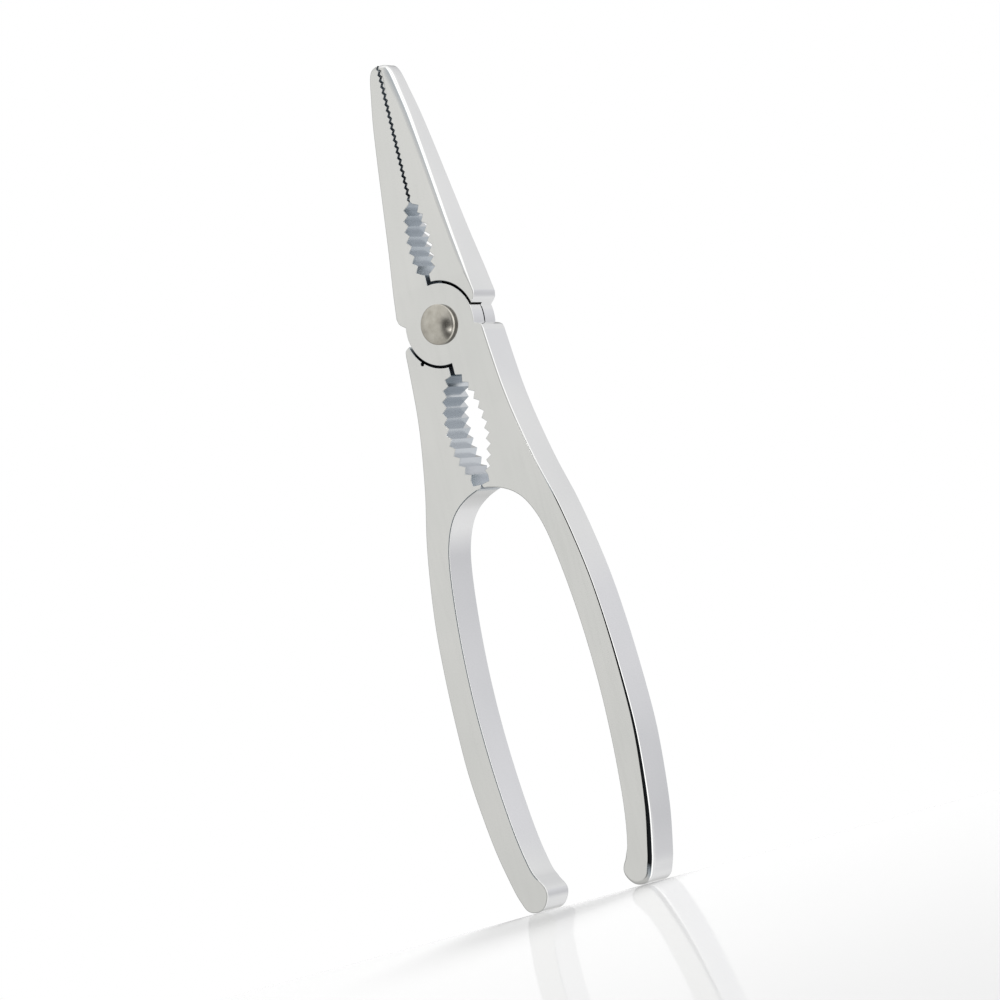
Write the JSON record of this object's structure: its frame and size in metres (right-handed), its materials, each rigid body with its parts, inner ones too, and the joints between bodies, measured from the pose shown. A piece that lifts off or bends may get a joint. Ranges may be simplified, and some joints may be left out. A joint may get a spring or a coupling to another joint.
{
  "type": "nutcracker",
  "caption": "Long-nosed plier nutcracker: crossed cast levers turn on a domed rivet, with toothed nut openings above and below it and a fine-toothed nose.",
  "frame": {"origin": "middle of the footprint, at the height of the two handle ends that the tool stands on", "axes": "+Z along the closed tool from the handle ends to the jaw tips; +X to the right seen from the domed rivet head; +Y from the rivet's dome to its closed rear head, along the rivet"},
  "size_m": [0.0454, 0.011, 0.19],
  "materials": {
    "plated_casting": "bright plated casting with satin ground faces and rounded glossy edges",
    "rivet_metal": "polished warm nickel"
  },
  "bodies": {
    "front_lever": {"front_lever": "plated_casting", "pivot_rivet": "rivet_metal"},
    "rear_lever": {"rear_lever": "plated_casting"}
  },
  "joints": [
    {"name": "pivot", "type": "hinge", "parent": "front_lever", "child": "rear_lever", "pos_m": [0, 0, 0.13], "axis": [0, 1, 0], "range_deg": [0, 27]}
  ]
}
